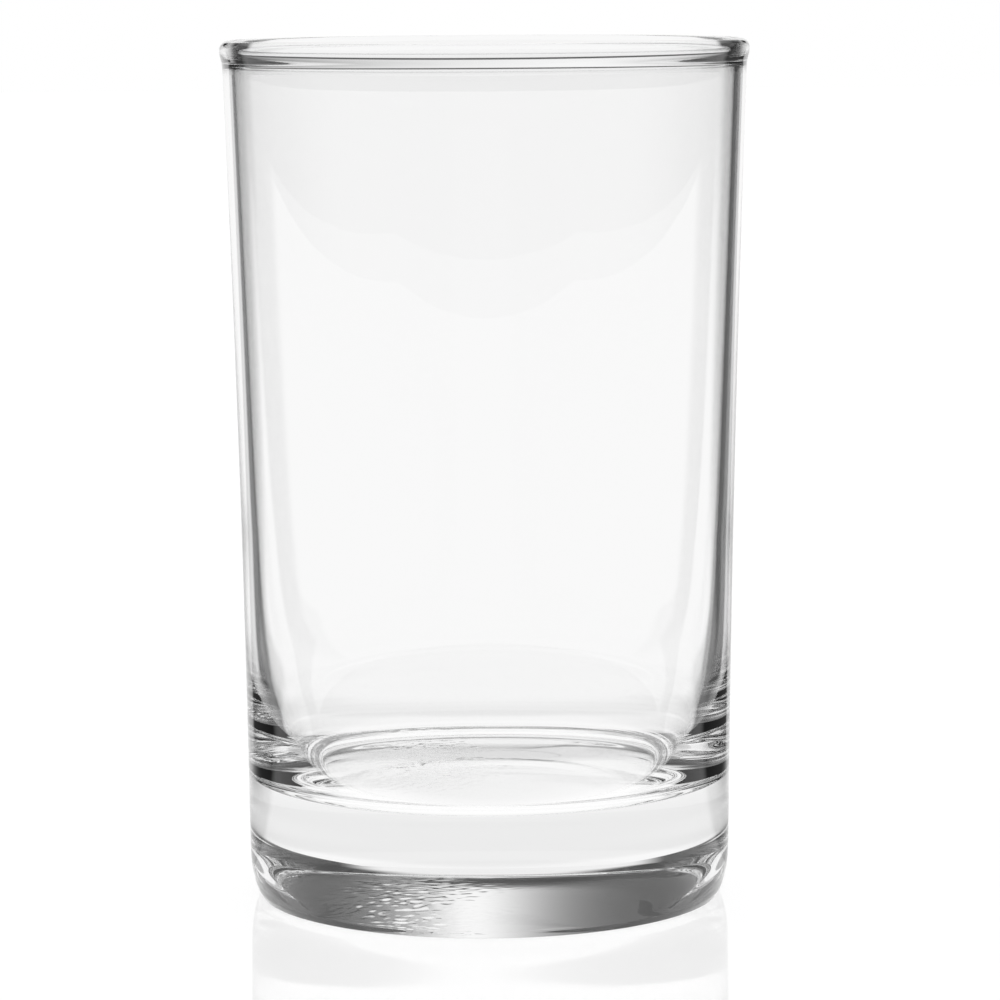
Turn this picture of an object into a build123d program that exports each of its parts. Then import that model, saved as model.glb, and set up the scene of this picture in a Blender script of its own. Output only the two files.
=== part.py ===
"""Heavy-base juice glass: one piece of clear glass, a solid of revolution about Z.

The origin is the centre of the ring that the glass stands on. Sizes are millimetres.
"""

import os

from build123d import *

# Overall sizes
rim_diameter = 57.0  # over the bead
height = 93.0  # from the table to the crest of the rim
base_diameter = 52.5  # outer wall at the top of the heel
wall_bow = 0.27  # how far the outer wall hollows inside a straight line from heel to bead

# Rounded bead that the flame leaves along the rim
bead_thickness = 2.0
bead_height = 2.9
bead_overhang = 0.3  # outside the wall below it
bead_blend = 0.9  # reach of the curves that run the sides of the bead into the wall

# Side wall, which thickens below the shoulder
wall_at_rim = 1.3
wall_at_shoulder = 1.55
shoulder_height = 45.0

# Solid base and the rounded bottom of the cavity
base_thickness = 11.0  # from the table to the middle of the cavity floor
floor_diameter = 29.0  # nearly flat middle of the cavity floor
floor_rise = 0.3  # how far that flat rises from its middle to its edge
corner_wall_reach = 13.9  # how far the cavity corner keeps to the line of the wall
corner_floor_reach = 10.0  # how far the cavity corner keeps to the line of the floor

# Heel, toe facet and underside
heel_height = 5.6
heel_wall_reach = 2.6  # how far the heel keeps to the line of the wall
heel_toe_reach = 1.2  # how far the heel keeps to its lean above the toe facet
heel_lean = 30.0  # degrees from upright where the heel meets the toe facet
toe_diameter = 50.7  # upper edge of the toe facet
toe_height = 0.55
bearing_diameter = 49.0  # outer edge of the flat ring that touches the table
bearing_width = 1.4
push_up = 1.8  # hollow under the base

# Points of the half section: first number from the axis, second above the table
heel_top = Vector(base_diameter / 2, heel_height)
toe = Vector(toe_diameter / 2, toe_height)
bearing_outer = Vector(bearing_diameter / 2, 0)
bearing_inner = Vector(bearing_outer.X - bearing_width, 0)
underside_middle = Vector(0, push_up)
floor_middle = Vector(0, base_thickness)
floor_edge = Vector(floor_diameter / 2, base_thickness + floor_rise)
bead_foot_outer = Vector(rim_diameter / 2 - bead_overhang, height - bead_height)
bead_foot_inner = Vector(bead_foot_outer.X - wall_at_rim, bead_foot_outer.Y)
bead_radius = bead_thickness / 2
bead_outer = Vector(rim_diameter / 2, height - bead_radius)
bead_crest = Vector(bead_outer.X - bead_radius, height)
bead_inner = Vector(bead_outer.X - bead_thickness, bead_outer.Y)

up = Vector(0, 1)
outward = Vector(1, 0)
heel_start = up.rotate(Axis.Z, -heel_lean)


def blend(start, start_direction, start_reach, end, end_direction, end_reach):
    """A smooth curve that leaves start along one direction and arrives at end along another."""
    return Bezier(start, start + start_direction * start_reach, end - end_direction * end_reach, end)


with BuildPart() as tumbler:
    with BuildSketch(Plane.XZ) as half_section:
        with BuildLine() as outline:
            # Outside, from the table up to the crest of the rim
            wall = SagittaArc(heel_top, bead_foot_outer, wall_bow)
            Line(bearing_outer, toe)
            blend(toe, heel_start, heel_toe_reach, heel_top, wall % 0, heel_wall_reach)
            blend(bead_foot_outer, wall % 1, bead_blend, bead_outer, up, bead_blend)
            ThreePointArc(bead_outer, bead_crest, bead_inner)

            # Inside, from the rim down to the cavity floor
            shoulder_share = (shoulder_height - heel_top.Y) / (bead_foot_outer.Y - heel_top.Y)
            shoulder_outer = wall @ shoulder_share
            shoulder = Vector(shoulder_outer.X - wall_at_shoulder, shoulder_outer.Y)
            inner_wall = Line(bead_foot_inner, shoulder)
            blend(bead_inner, -up, bead_blend, bead_foot_inner, inner_wall % 0, bead_blend)
            floor = TangentArc(floor_middle, floor_edge, tangent=outward)
            blend(shoulder, inner_wall % 1, corner_wall_reach, floor_edge, -(floor % 1), corner_floor_reach)

            # Axis and underside
            Line(floor_middle, underside_middle)
            TangentArc(underside_middle, bearing_inner, tangent=outward)
            Line(bearing_inner, bearing_outer)
        make_face()
    revolve(axis=Axis.Z)

tumbler.part.label = "tumbler"
os.makedirs("parts", exist_ok=True)
export_step(tumbler.part, "parts/tumbler.step")
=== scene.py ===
"""Looks of the juice glass: a clear heavy-base tumbler on a white table.

It is lit from behind, between two dark sides, as the lines in the photograph's glass ask for.
"""

import math

import bpy
from mathutils import Matrix, Vector, noise


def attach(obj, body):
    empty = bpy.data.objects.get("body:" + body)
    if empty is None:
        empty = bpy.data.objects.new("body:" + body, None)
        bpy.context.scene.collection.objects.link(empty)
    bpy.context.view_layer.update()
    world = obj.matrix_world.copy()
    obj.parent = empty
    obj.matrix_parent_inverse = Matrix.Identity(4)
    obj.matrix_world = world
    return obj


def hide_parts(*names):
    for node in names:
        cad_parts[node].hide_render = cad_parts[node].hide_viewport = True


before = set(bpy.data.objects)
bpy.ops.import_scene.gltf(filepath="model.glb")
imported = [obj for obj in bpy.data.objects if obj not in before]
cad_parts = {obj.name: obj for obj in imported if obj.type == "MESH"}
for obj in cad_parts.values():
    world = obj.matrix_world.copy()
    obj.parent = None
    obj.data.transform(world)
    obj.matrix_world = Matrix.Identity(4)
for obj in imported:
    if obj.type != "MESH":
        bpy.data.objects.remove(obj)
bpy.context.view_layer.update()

MM = 0.001

# Half section in millimetres, angles in radians: outside
RIM_DIAMETER = 57.0
HEIGHT = 93.0
BASE_DIAMETER = 52.5
WALL_BOW = 0.27
HEEL_HEIGHT = 5.6
HEEL_WALL_REACH = 2.6
HEEL_TOE_REACH = 1.2
HEEL_LEAN = math.radians(20.0)

# Toe facet between the heel and the ring that the glass stands on, and the hollow underside
TOE_DIAMETER = 51.0
TOE_HEIGHT = 0.7
TOE_REACH = 0.25
TOE_START = math.radians(59.0)
TOE_END = math.radians(63.0)
BEARING_DIAMETER = 50.2
BEARING_WIDTH = 1.0
PUSH_UP = 1.8

# Rim bead
BEAD_THICKNESS = 2.0
BEAD_HEIGHT = 2.9
BEAD_OVERHANG = 0.3
BEAD_BLEND = 0.9

# Inside
WALL_AT_RIM = 1.3
WALL_AT_SHOULDER = 1.55
SHOULDER_HEIGHT = 45.0
BASE_THICKNESS = 12.0
FLOOR_DIAMETER = 38.6
FLOOR_RISE = 0.3
CORNER_WALL_REACH = 14.5
CORNER_FLOOR_REACH = 4.5

# Degrees by which the normals of the lower cavity wall are turned towards level, at heights in millimetres
EASED_TILT = ((18.0, 0.0), (23.0, 2.5), (25.0, 3.8), (29.0, 3.3), (34.0, 1.8), (40.0, 0.0))

# Faint ripple that the mould leaves in the hollow underside, in millimetres, stronger in one patch
RIPPLE_DEPTH = 0.001
RIPPLE_WAVE = 0.8
RIPPLE_PATCH_DEPTH = 0.07
RIPPLE_PATCH_MIDDLE = -7.0
RIPPLE_PATCH_WIDTH = 5.0

# Fineness of the mesh
SEGMENTS = 320
UNDERSIDE_STEPS = 90
BEARING_STEPS = 6
TOE_STEPS = 10
HEEL_STEPS = 28
WALL_STEPS = 80
FLANK_STEPS = 10
CREST_STEPS = 32
CORNER_STEPS = 70
FLOOR_STEPS = 40

# Glass: wear leaves the polish slightly uneven, and the mould leaves faint waves
GLASS_IOR = 1.52
WEAR_SCALE = 420.0
WEAR_DETAIL = 4.0
WEAR_RANGE = (0.55, 0.8)
WEAR_ROUGHNESS = (0.0, 0.006)
WAVE_STRETCH = (60.0, 60.0, 260.0)
WAVE_STRENGTH = 0.02
WAVE_DEPTH = 0.00003

# Camera of the photograph
CAMERA_DISTANCE = 0.465
CAMERA_HEIGHT = 0.1011
CAMERA_YAW = math.radians(0.17)
CAMERA_PITCH = math.radians(7.12)
CAMERA_ROLL = math.radians(-0.35)
CAMERA_SENSOR = 36.0
CAMERA_LENS = 4.299 * CAMERA_SENSOR
CAMERA_NEAR = 0.01
CAMERA_FAR = 50.0

# Light may pass this often through glass, and bounce this often off it
GLASS_BOUNCES = 32
GLOSSY_BOUNCES = 16

# Surroundings, angles in degrees from straight behind the glass and above the table
MIDDLE = 1.0
SKY_LOW = 21.0
SKY_SIDE_RISE = 12.0
SKY_SIDE_REACH = 75.0
SKY_FRONT_RISE = 17.0
SKY_FRONT_FADE = (115.0, 155.0)
SKY_SOFT = 7.0
SKY_LEVEL = 0.9
COLUMN_MIDDLE = 2.7
COLUMN_HALF = 15.0
COLUMN_POWER = 2.0
COLUMN_LEVEL = 0.9
COLUMN_FOOT = (10.0, 12.5)
COLUMN_GAP = 0.04
DARK_LEVEL = 0.03
HORIZON_TOP = 7.0
HORIZON_SOFT = 1.0
HORIZON_LEFT = 31.0
HORIZON_RIGHT = 22.0
HORIZON_SIDE_SOFT = 6.0
HORIZON_LEVEL = 0.88
FRONT_FADE = (60.0, 110.0)
FRONT_TOP = 10.0
FRONT_LOW_LEVEL = 0.4
FRONT_HIGH_LEVEL = 0.2

# White backdrop that the floor mirrors for the camera, in degrees
BACKDROP_TOP = 17.0
BACKDROP_HALF = 10.0

# Table, in metres; it lies a hair below the glass
TABLE_REACH = 3.0
TABLE_DROP = 0.0001

# Table as the glass sees it, laid out in painted light and shade: a painted bright strip behind, painted
# shade beside it, painted light again at the sides and in front, and more painted light where the base
# gathers light under the glass and just behind it
STRIP_LEFT = 0.028
STRIP_RIGHT = 0.028
STRIP_LEFT_SLOPE = 0.56
STRIP_RIGHT_SLOPE = 0.42
STRIP_SOFT = (0.45, 0.07)
STRIP_SOFT_REACH = (0.03, 0.09)
# Brightness of the painted bright strip, and of the painted shade beside it
TABLE_LEVEL = 0.95
TABLE_DARK = 0.10
# Painted light on the table at the sides and in front, beyond an angle that narrows with distance
AHEAD_NEAR = 70.0
AHEAD_FAR = 52.0
AHEAD_REACH = (0.11, 0.19)
AHEAD_SOFT = 4.0
AHEAD_LEVEL = 0.93
# Painted shade on the table close around the glass, fading out further away
NEAR_SHADE_FADE = (0.055, 0.075)
NEAR_SHADE_SHARE = 0.9
UNDER_RADIUS = 0.0262
UNDER_REACH = (0.006, 0.02)
# Painted shade in the middle of the table under the glass, and painted light towards its edge
UNDER_SHADE_MIDDLE = 0.9
UNDER_LIGHT_EDGE = 1.02
# Painted pool of light on the table under the glass and just behind it, where the base gathers light
GATHER_LIGHT_REACH = (0.044, 0.052)
GATHER_LIGHT_SHARE = 1.12

# Table as the camera sees it
FLOOR_GLOW = 0.9
FLOOR_SHADE = 0.30
FLOOR_GLOSS = 0.2
FLOOR_ROUGHNESS = 0.04


def bezier(points, steps):
    """Points along a Bezier curve, without its first one."""
    degree = len(points) - 1
    found = []
    for step in range(1, steps + 1):
        t = step / steps
        total = Vector((0, 0))
        for k, point in enumerate(points):
            total += point * (math.comb(degree, k) * (1 - t) ** (degree - k) * t**k)
        found.append(total)
    return found


def blend(start, start_direction, start_reach, end, end_direction, end_reach, steps):
    """Points along a curve that leaves start along one direction and arrives at end along another."""
    handles = [start, start + start_direction * start_reach, end - end_direction * end_reach, end]
    return bezier(handles, steps)


def bowed(start, end, bow, steps):
    """Points along an arc that hollows towards the axis by bow, without its first one.

    The directions at its two ends come with them.
    """
    chord = end - start
    half = chord.length / 2
    along = chord.normalized()
    outward = Vector((along.y, -along.x))
    radius = (half**2 + bow**2) / (2 * bow)
    centre = (start + end) / 2 + outward * (radius - bow)
    reach = math.asin(half / radius)
    found = []
    for step in range(1, steps + 1):
        turn = reach * (2 * step / steps - 1)
        found.append(centre - outward * (radius * math.cos(turn)) + along * (radius * math.sin(turn)))
    first = along * math.cos(reach) - outward * math.sin(reach)
    last = along * math.cos(reach) + outward * math.sin(reach)
    return found, first, last


def dome(middle, edge, steps):
    """Points from the axis along an arc that starts level, without its first one, and its last direction."""
    rise = edge.y - middle.y
    radius = (edge.x**2 + rise**2) / (2 * rise)
    sweep = math.asin(edge.x / radius)
    found = []
    for step in range(1, steps + 1):
        turn = sweep * step / steps
        found.append(Vector((radius * math.sin(turn), middle.y + radius * (1 - math.cos(turn)))))
    return found, Vector((math.cos(sweep), math.sin(sweep)))


def straight(start, end, steps):
    """Points along a line, without its first one."""
    return [start.lerp(end, step / steps) for step in range(1, steps + 1)]


def half_turn(start, end, steps):
    """Points along the half circle over the rim, without its first one."""
    centre = (start + end) / 2
    radius = (start - end).length / 2
    turns = [math.pi * step / steps for step in range(1, steps + 1)]
    return [centre + Vector((math.cos(turn), math.sin(turn))) * radius for turn in turns]


def direction(angle):
    """The unit vector of the half section that rises by an angle from level."""
    return Vector((math.cos(angle), math.sin(angle)))


def half_section():
    """The glass from the middle of its underside, up the outside, over the rim and down inside."""
    up = Vector((0, 1))
    heel_top = Vector((BASE_DIAMETER / 2, HEEL_HEIGHT))
    toe = Vector((TOE_DIAMETER / 2, TOE_HEIGHT))
    bearing_outer = Vector((BEARING_DIAMETER / 2, 0))
    bearing_inner = Vector((bearing_outer.x - BEARING_WIDTH, 0))
    bead_foot_outer = Vector((RIM_DIAMETER / 2 - BEAD_OVERHANG, HEIGHT - BEAD_HEIGHT))
    bead_foot_inner = Vector((bead_foot_outer.x - WALL_AT_RIM, bead_foot_outer.y))
    bead_outer = Vector((RIM_DIAMETER / 2, HEIGHT - BEAD_THICKNESS / 2))
    bead_inner = Vector((bead_outer.x - BEAD_THICKNESS, bead_outer.y))
    floor_middle = Vector((0, BASE_THICKNESS))
    floor_edge = Vector((FLOOR_DIAMETER / 2, BASE_THICKNESS + FLOOR_RISE))
    underside_middle = Vector((0, PUSH_UP))

    underside, _ = dome(underside_middle, bearing_inner, UNDERSIDE_STEPS)
    wall, wall_start, wall_end = bowed(heel_top, bead_foot_outer, WALL_BOW, WALL_STEPS)
    share = (SHOULDER_HEIGHT - heel_top.y) / (bead_foot_outer.y - heel_top.y)
    shoulder_outer = wall[round(share * WALL_STEPS) - 1]
    shoulder = Vector((shoulder_outer.x - WALL_AT_SHOULDER, SHOULDER_HEIGHT))
    inner = (shoulder - bead_foot_inner).normalized()
    floor, floor_direction = dome(floor_middle, floor_edge, FLOOR_STEPS)
    toe_start = direction(TOE_START)
    toe_end = direction(TOE_END)
    heel_start = direction(math.pi / 2 - HEEL_LEAN)

    section = [underside_middle] + underside
    section += straight(bearing_inner, bearing_outer, BEARING_STEPS)
    section += blend(bearing_outer, toe_start, TOE_REACH, toe, toe_end, TOE_REACH, TOE_STEPS)
    section += blend(toe, heel_start, HEEL_TOE_REACH, heel_top, wall_start, HEEL_WALL_REACH, HEEL_STEPS)
    section += wall
    section += blend(bead_foot_outer, wall_end, BEAD_BLEND, bead_outer, up, BEAD_BLEND, FLANK_STEPS)
    section += half_turn(bead_outer, bead_inner, CREST_STEPS)
    section += blend(bead_inner, -up, BEAD_BLEND, bead_foot_inner, inner, BEAD_BLEND, FLANK_STEPS)
    section += straight(bead_foot_inner, shoulder, WALL_STEPS)
    section += blend(
        shoulder, inner, CORNER_WALL_REACH, floor_edge, -floor_direction, CORNER_FLOOR_REACH, CORNER_STEPS
    )
    section += list(reversed(floor[:-1])) + [floor_middle]
    return section


def ripple(x, y):
    """How far the underside rises at a place, in millimetres."""
    patch = math.exp(-(((x - RIPPLE_PATCH_MIDDLE) / RIPPLE_PATCH_WIDTH) ** 2))
    depth = RIPPLE_DEPTH + RIPPLE_PATCH_DEPTH * patch
    return depth * noise.noise(Vector((x / RIPPLE_WAVE, y / RIPPLE_WAVE, 0)))


def eased_tilt(height):
    """Degrees of ease at a height, straight between the listed ones and none outside them."""
    for (low, low_ease), (high, high_ease) in zip(EASED_TILT, EASED_TILT[1:]):
        if low <= height <= high:
            return low_ease + (high_ease - low_ease) * (height - low) / (high - low)
    return 0.0


def ease_normals(mesh):
    """Turns the normals of the lower cavity wall towards level."""
    normals = []
    for vert, found in zip(mesh.vertices, mesh.vertex_normals):
        normal = Vector(found.vector)
        outward = Vector((vert.co.x, vert.co.y, 0)).normalized()
        ease = eased_tilt(vert.co.z / MM)
        if ease and normal.dot(outward) < 0:
            tilt = math.atan2(normal.z, -normal.dot(outward)) - math.radians(ease)
            normal = Vector((0, 0, math.sin(tilt))) - outward * math.cos(tilt)
        normals.append(normal)
    mesh.normals_split_custom_set_from_vertices(normals)


def lathe(name, section):
    """A closed mesh of the half section turned about Z; its first and last points are on the axis."""
    verts = []
    for index, point in enumerate(section[1:-1], 1):
        for k in range(SEGMENTS):
            turn = 2 * math.pi * k / SEGMENTS
            x = point.x * math.cos(turn)
            y = point.x * math.sin(turn)
            rise = ripple(x, y) if index < UNDERSIDE_STEPS else 0.0
            verts.append(Vector((x, y, point.y + rise)) * MM)
    rings = len(section) - 2
    start = len(verts)
    verts.append(Vector((0, 0, section[0].y)) * MM)
    verts.append(Vector((0, 0, section[-1].y)) * MM)
    faces = []
    last = (rings - 1) * SEGMENTS
    for k in range(SEGMENTS):
        after = (k + 1) % SEGMENTS
        faces.append((start, after, k))
        faces.append((start + 1, last + k, last + after))
        for ring in range(rings - 1):
            low = ring * SEGMENTS
            high = low + SEGMENTS
            faces.append((low + k, low + after, high + after, high + k))
    mesh = bpy.data.meshes.new(name)
    mesh.from_pydata(verts, [], faces)
    mesh.shade_smooth()
    mesh.update()
    ease_normals(mesh)
    piece = bpy.data.objects.new(name, mesh)
    bpy.context.collection.objects.link(piece)
    return piece


def node(tree, kind, **settings):
    """A new node with some of its settings."""
    made = tree.nodes.new(kind)
    for key, value in settings.items():
        setattr(made, key, value)
    return made


def math_node(tree, operation, first, second=None):
    """The result of one operation on two values or sockets."""
    made = node(tree, "ShaderNodeMath", operation=operation)
    for socket, value in zip(made.inputs, (first, second)):
        if value is None:
            continue
        if isinstance(value, (int, float)):
            socket.default_value = value
        else:
            tree.links.new(value, socket)
    return made.outputs[0]


def largest(tree, first, *others):
    """The largest of some sockets."""
    for other in others:
        first = math_node(tree, "MAXIMUM", first, other)
    return first


def fade(tree, value, start, end, low, high):
    """A smooth step from low at start to high at end."""
    made = node(tree, "ShaderNodeMapRange", interpolation_type="SMOOTHSTEP")
    tree.links.new(value, made.inputs["Value"])
    made.inputs["From Min"].default_value = start
    made.inputs["From Max"].default_value = end
    made.inputs["To Min"].default_value = low
    made.inputs["To Max"].default_value = high
    return made.outputs["Result"]


def wear_roughness(tree, place):
    """Slightly uneven polish."""
    wear = node(tree, "ShaderNodeTexNoise")
    wear.inputs["Scale"].default_value = WEAR_SCALE
    wear.inputs["Detail"].default_value = WEAR_DETAIL
    tree.links.new(place, wear.inputs["Vector"])
    return fade(tree, wear.outputs["Fac"], *WEAR_RANGE, *WEAR_ROUGHNESS)


def mould_waves(tree, place):
    """Normals of the faint waves that the mould leaves, which run around the glass."""
    stretch = node(tree, "ShaderNodeMapping")
    stretch.inputs["Scale"].default_value = WAVE_STRETCH
    tree.links.new(place, stretch.inputs["Vector"])
    waves = node(tree, "ShaderNodeTexNoise")
    waves.inputs["Scale"].default_value = 1.0
    tree.links.new(stretch.outputs[0], waves.inputs["Vector"])
    bump = node(tree, "ShaderNodeBump")
    bump.inputs["Strength"].default_value = WAVE_STRENGTH
    bump.inputs["Distance"].default_value = WAVE_DEPTH
    tree.links.new(waves.outputs["Fac"], bump.inputs["Height"])
    return bump.outputs[0]


def glass_material():
    """Clear glass with procedural wear in its polish and faint waves from the mould."""
    material = bpy.data.materials.new("clear_glass")
    material.use_nodes = True
    tree = material.node_tree
    shader = tree.nodes["Principled BSDF"]
    shader.inputs["Base Color"].default_value = (1.0, 1.0, 1.0, 1.0)
    shader.inputs["IOR"].default_value = GLASS_IOR
    shader.inputs["Transmission Weight"].default_value = 1.0
    place = node(tree, "ShaderNodeTexCoord").outputs["Object"]
    tree.links.new(wear_roughness(tree, place), shader.inputs["Roughness"])
    tree.links.new(mould_waves(tree, place), shader.inputs["Normal"])
    return material


def sky_level(tree, side, elevation):
    """Bright above an edge that is lowest straight behind the glass."""
    side_edge = fade(tree, side, 0.0, SKY_SIDE_REACH, SKY_LOW, SKY_LOW + SKY_SIDE_RISE)
    edge = math_node(tree, "ADD", side_edge, fade(tree, side, *SKY_FRONT_FADE, 0.0, SKY_FRONT_RISE))
    above = math_node(tree, "SUBTRACT", elevation, edge)
    return fade(tree, above, -SKY_SOFT, SKY_SOFT, 0.0, SKY_LEVEL)


def column_level(tree, azimuth, elevation):
    """A bright column behind the glass that starts above a dark gap and falls off to its sides."""
    away = math_node(tree, "ABSOLUTE", math_node(tree, "SUBTRACT", azimuth, COLUMN_MIDDLE))
    square = math_node(tree, "POWER", math_node(tree, "DIVIDE", away, COLUMN_HALF), 2.0)
    drop = math_node(tree, "POWER", math_node(tree, "ADD", square, 1.0), COLUMN_POWER)
    foot = fade(tree, elevation, *COLUMN_FOOT, COLUMN_GAP, 1.0)
    level = math_node(tree, "MULTIPLY", math_node(tree, "DIVIDE", COLUMN_LEVEL, drop), foot)
    return math_node(tree, "ADD", level, DARK_LEVEL)


def horizon_level(tree, turn, elevation):
    """A bright strip low behind the glass, where the far table runs into the background."""
    soft = HORIZON_SIDE_SOFT
    left = fade(tree, turn, -HORIZON_LEFT - soft, -HORIZON_LEFT + soft, 0.0, 1.0)
    right = fade(tree, turn, HORIZON_RIGHT - soft, HORIZON_RIGHT + soft, 1.0, 0.0)
    top = (HORIZON_TOP - HORIZON_SOFT, HORIZON_TOP + HORIZON_SOFT)
    low = fade(tree, elevation, *top, HORIZON_LEVEL, 0.0)
    return math_node(tree, "MULTIPLY", low, math_node(tree, "MULTIPLY", left, right))


def front_level(tree, side, elevation):
    """The dim room on the side of the camera, lighter low down."""
    level = fade(tree, elevation, 0.0, FRONT_TOP, FRONT_LOW_LEVEL, FRONT_HIGH_LEVEL)
    return math_node(tree, "MULTIPLY", level, fade(tree, side, *FRONT_FADE, 0.0, 1.0))


def mirrored_level(tree, side, elevation, path):
    """White behind the glass, for light that was mirrored last and is not inside the glass."""
    low = math_node(tree, "LESS_THAN", elevation, BACKDROP_TOP)
    behind = math_node(tree, "MULTIPLY", low, math_node(tree, "LESS_THAN", side, BACKDROP_HALF))
    glossy = path.outputs["Is Glossy Ray"]
    outside = math_node(tree, "GREATER_THAN", glossy, path.outputs["Is Transmission Ray"])
    return math_node(tree, "MULTIPLY", behind, outside)


def make_world():
    """Surroundings that are plain white for the camera and laid out in light and dark for the glass."""
    world = bpy.data.worlds.new("studio")
    bpy.context.scene.world = world
    world.use_nodes = True
    tree = world.node_tree
    tree.nodes.clear()
    place = node(tree, "ShaderNodeTexCoord")
    axes = node(tree, "ShaderNodeSeparateXYZ")
    tree.links.new(place.outputs["Generated"], axes.inputs[0])
    around = math_node(tree, "ARCTAN2", axes.outputs["X"], axes.outputs["Y"])
    azimuth = math_node(tree, "DEGREES", around)
    elevation = math_node(tree, "DEGREES", math_node(tree, "ARCSINE", axes.outputs["Z"]))
    turn = math_node(tree, "SUBTRACT", azimuth, MIDDLE)
    side = math_node(tree, "ABSOLUTE", turn)
    level = largest(
        tree,
        sky_level(tree, side, elevation),
        column_level(tree, azimuth, elevation),
        horizon_level(tree, turn, elevation),
        front_level(tree, side, elevation),
    )
    path = node(tree, "ShaderNodeLightPath")
    mirrored = mirrored_level(tree, side, elevation, path)
    level = largest(tree, level, mirrored, path.outputs["Is Camera Ray"])
    back = node(tree, "ShaderNodeBackground")
    tree.links.new(level, back.inputs["Strength"])
    back.inputs["Color"].default_value = (1, 1, 1, 1)
    out = node(tree, "ShaderNodeOutputWorld")
    tree.links.new(back.outputs[0], out.inputs["Surface"])


def strip_level(tree, x, y):
    """The painted bright strip of the table behind the glass, which widens with distance, with painted shade
    beside it.
    """
    back = math_node(tree, "MAXIMUM", y, 0.0)
    left = math_node(tree, "ADD", math_node(tree, "MULTIPLY", back, STRIP_LEFT_SLOPE), STRIP_LEFT)
    right = math_node(tree, "ADD", math_node(tree, "MULTIPLY", back, STRIP_RIGHT_SLOPE), STRIP_RIGHT)
    soft = fade(tree, y, *STRIP_SOFT_REACH, *STRIP_SOFT)
    past_left = math_node(tree, "ADD", math_node(tree, "DIVIDE", x, left), 1.0)
    past_right = math_node(tree, "SUBTRACT", math_node(tree, "DIVIDE", x, right), 1.0)
    in_left = fade(tree, math_node(tree, "DIVIDE", past_left, soft), -1.0, 1.0, 0.0, 1.0)
    in_right = fade(tree, math_node(tree, "DIVIDE", past_right, soft), -1.0, 1.0, 1.0, 0.0)
    inside = math_node(tree, "MULTIPLY", in_left, in_right)
    behind = math_node(tree, "MULTIPLY", inside, math_node(tree, "GREATER_THAN", y, 0.0))
    lift = math_node(tree, "MULTIPLY", behind, TABLE_LEVEL - TABLE_DARK)
    return math_node(tree, "ADD", lift, TABLE_DARK)


def table_level(tree):
    """Painted light and shade of the table, for light that the glass bends or mirrors."""
    place = node(tree, "ShaderNodeNewGeometry")
    axes = node(tree, "ShaderNodeSeparateXYZ")
    tree.links.new(place.outputs["Position"], axes.inputs[0])
    x = axes.outputs["X"]
    y = axes.outputs["Y"]
    turn = math_node(tree, "ARCTAN2", math_node(tree, "ABSOLUTE", x), y)
    angle = math_node(tree, "DEGREES", turn)
    x_square = math_node(tree, "MULTIPLY", x, x)
    y_square = math_node(tree, "MULTIPLY", y, y)
    away = math_node(tree, "SQRT", math_node(tree, "ADD", x_square, y_square))
    # Painted light at the sides and in front, together with the painted strip
    ahead = fade(tree, away, *AHEAD_REACH, AHEAD_NEAR, AHEAD_FAR)
    beyond = math_node(tree, "SUBTRACT", angle, ahead)
    side_level = fade(tree, beyond, -AHEAD_SOFT, AHEAD_SOFT, 0.0, AHEAD_LEVEL)
    open_level = largest(tree, strip_level(tree, x, y), side_level)
    # Painted shade close around the glass
    painted_near_shade = fade(tree, away, *NEAR_SHADE_FADE, NEAR_SHADE_SHARE, 1.0)
    # Painted pool of light where the base gathers light
    painted_gather_light = fade(tree, away, *GATHER_LIGHT_REACH, GATHER_LIGHT_SHARE, 1.0)
    around = math_node(tree, "MULTIPLY", math_node(tree, "MULTIPLY", open_level, painted_near_shade), painted_gather_light)
    covered = math_node(tree, "LESS_THAN", away, UNDER_RADIUS)
    # Under the glass: painted shade in the middle, painted light towards the edge
    under = fade(tree, away, *UNDER_REACH, UNDER_SHADE_MIDDLE, UNDER_LIGHT_EDGE)
    change = math_node(tree, "MULTIPLY", math_node(tree, "SUBTRACT", under, around), covered)
    return math_node(tree, "ADD", around, change)


def floor_look(tree):
    """White floor with a soft shadow and a pale mirror image, for the camera."""
    glow = node(tree, "ShaderNodeEmission")
    glow.inputs["Strength"].default_value = FLOOR_GLOW
    matt = node(tree, "ShaderNodeBsdfDiffuse")
    matt.inputs["Color"].default_value = (FLOOR_SHADE, FLOOR_SHADE, FLOOR_SHADE, 1)
    both = node(tree, "ShaderNodeAddShader")
    tree.links.new(glow.outputs[0], both.inputs[0])
    tree.links.new(matt.outputs[0], both.inputs[1])
    gloss = node(tree, "ShaderNodeBsdfGlossy")
    gloss.inputs["Roughness"].default_value = FLOOR_ROUGHNESS
    mirrored = node(tree, "ShaderNodeMixShader")
    mirrored.inputs[0].default_value = FLOOR_GLOSS
    tree.links.new(both.outputs[0], mirrored.inputs[1])
    tree.links.new(gloss.outputs[0], mirrored.inputs[2])
    return mirrored.outputs[0]


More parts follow.
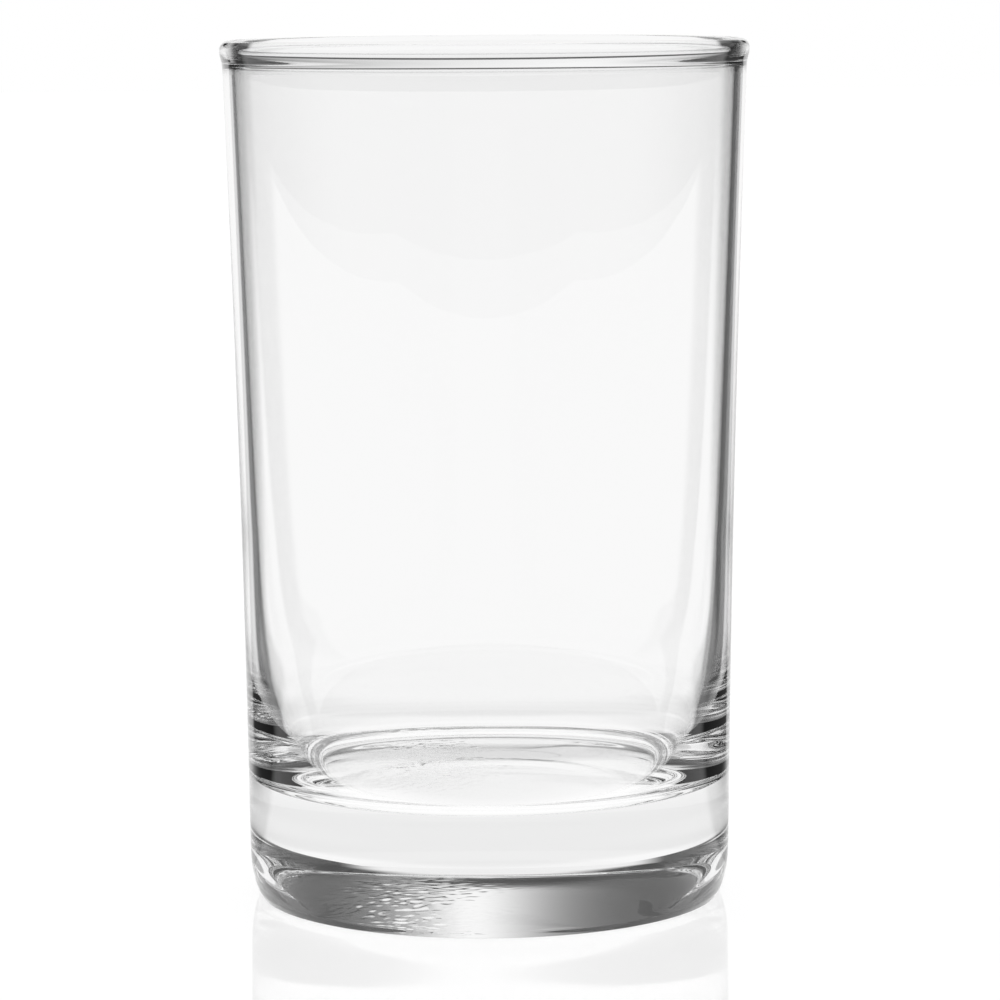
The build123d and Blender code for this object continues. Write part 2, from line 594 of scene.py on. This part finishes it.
def table_material():
    """A table that looks plain white to the camera, and glows in painted light and shade to the glass."""
    material = bpy.data.materials.new("white_table")
    material.use_nodes = True
    tree = material.node_tree
    tree.nodes.clear()
    seen = node(tree, "ShaderNodeEmission")
    tree.links.new(table_level(tree), seen.inputs["Strength"])
    path = node(tree, "ShaderNodeLightPath")
    mix = node(tree, "ShaderNodeMixShader")
    tree.links.new(path.outputs["Is Camera Ray"], mix.inputs[0])
    tree.links.new(seen.outputs[0], mix.inputs[1])
    tree.links.new(floor_look(tree), mix.inputs[2])
    out = node(tree, "ShaderNodeOutputMaterial")
    tree.links.new(mix.outputs[0], out.inputs["Surface"])
    return material


def make_table():
    """A wide square table under the glass."""
    mesh = bpy.data.meshes.new("table")
    signs = [(-1, -1), (1, -1), (1, 1), (-1, 1)]
    corners = [(x * TABLE_REACH, y * TABLE_REACH, -TABLE_DROP) for x, y in signs]
    mesh.from_pydata(corners, [], [(0, 1, 2, 3)])
    mesh.materials.append(table_material())
    table = bpy.data.objects.new("table", mesh)
    bpy.context.collection.objects.link(table)


def make_camera():
    """The camera that was fitted to the photograph."""
    forward = Vector(
        (
            math.sin(CAMERA_YAW) * math.cos(CAMERA_PITCH),
            math.cos(CAMERA_YAW) * math.cos(CAMERA_PITCH),
            -math.sin(CAMERA_PITCH),
        )
    )
    level = Vector((math.cos(CAMERA_YAW), -math.sin(CAMERA_YAW), 0))
    top = level.cross(forward)
    right = level * math.cos(CAMERA_ROLL) + top * math.sin(CAMERA_ROLL)
    upper = top * math.cos(CAMERA_ROLL) - level * math.sin(CAMERA_ROLL)
    data = bpy.data.cameras.new("camera")
    data.sensor_width = CAMERA_SENSOR
    data.lens = CAMERA_LENS
    data.clip_start = CAMERA_NEAR
    data.clip_end = CAMERA_FAR
    camera = bpy.data.objects.new("camera", data)
    bpy.context.collection.objects.link(camera)
    turn = Matrix((right, upper, -forward)).transposed().to_4x4()
    camera.matrix_world = Matrix.Translation((0, -CAMERA_DISTANCE, CAMERA_HEIGHT)) @ turn
    bpy.context.scene.camera = camera


glass = lathe("tumbler_glass", half_section())
glass.data.materials.append(glass_material())
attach(glass, "root")
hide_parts("tumbler")

make_world()
make_table()
make_camera()
scene = bpy.context.scene
scene.view_settings.view_transform = "Standard"
scene.cycles.max_bounces = GLASS_BOUNCES
scene.cycles.transmission_bounces = GLASS_BOUNCES
scene.cycles.glossy_bounces = GLOSSY_BOUNCES
